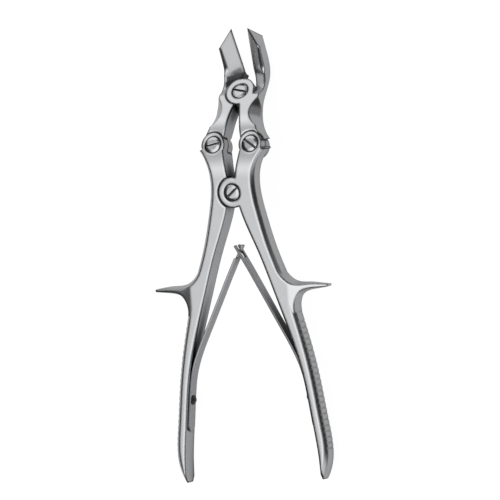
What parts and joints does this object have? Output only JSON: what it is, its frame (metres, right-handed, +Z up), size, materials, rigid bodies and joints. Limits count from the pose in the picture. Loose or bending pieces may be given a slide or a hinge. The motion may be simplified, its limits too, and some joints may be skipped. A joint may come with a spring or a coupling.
{
  "type": "bone cutter",
  "caption": "Compound-action bone cutting forceps with angled jaws, straight ground blades, finger spurs, ribbed grips and a crossed double leaf spring, joined by slotted pivot screws",
  "frame": {"origin": "centre of the footprint, on the table: the forceps lies on the heel of its jaws and on the ends of its handles", "axes": "+Y from the handle ends to the blades, +X to the right seen from above with the blades ahead, +Z up out of the front face"},
  "size_m": [0.1164, 0.2724, 0.0338],
  "materials": {
    "satin_steel": "forged stainless steel, finely polished to a satin sheen",
    "spring_steel": "hardened stainless spring strip, finely ground",
    "screw_steel": "turned stainless steel, polished heads"
  },
  "bodies": {
    "left_handle_body": {"left_handle": "satin_steel", "handle_screw": "screw_steel", "left_spring": "spring_steel", "left_spring_screw": "screw_steel"},
    "right_handle_body": {"right_handle": "satin_steel", "right_spring": "spring_steel", "right_spring_screw": "screw_steel"},
    "left_jaw_body": {"left_jaw": "satin_steel", "left_link_screw": "screw_steel", "jaw_screw": "screw_steel"},
    "right_jaw_body": {"right_jaw": "satin_steel", "right_link_screw": "screw_steel"}
  },
  "joints": [
    {"name": "handle_joint", "type": "hinge", "parent": "left_handle_body", "child": "right_handle_body", "pos_m": [0, 0.03683, 0.03241], "axis": [0, 0.1197, -0.9928], "range_deg": [0, 21.5], "stiffness_Nm_per_rad": 5, "springref_deg": -1.72, "deforming": ["left_spring", "right_spring"]},
    {"name": "left_jaw_joint", "type": "hinge", "parent": "left_handle_body", "child": "left_jaw_body", "pos_m": [-0.0125, 0.06612, 0.0317], "axis": [0, -0.1809, -0.9835], "range_deg": [0, 18.8]},
    {"name": "right_jaw_joint", "type": "hinge", "parent": "right_handle_body", "child": "right_jaw_body", "pos_m": [0.0125, 0.06612, 0.0317], "axis": [0, 0.1809, 0.9835], "range_deg": [0, 18.8]}
  ],
  "couplings": [
    {"joint": "left_jaw_joint", "follows": "handle_joint", "ratio": 0.8668},
    {"joint": "right_jaw_joint", "follows": "handle_joint", "ratio": 0.8668}
  ]
}
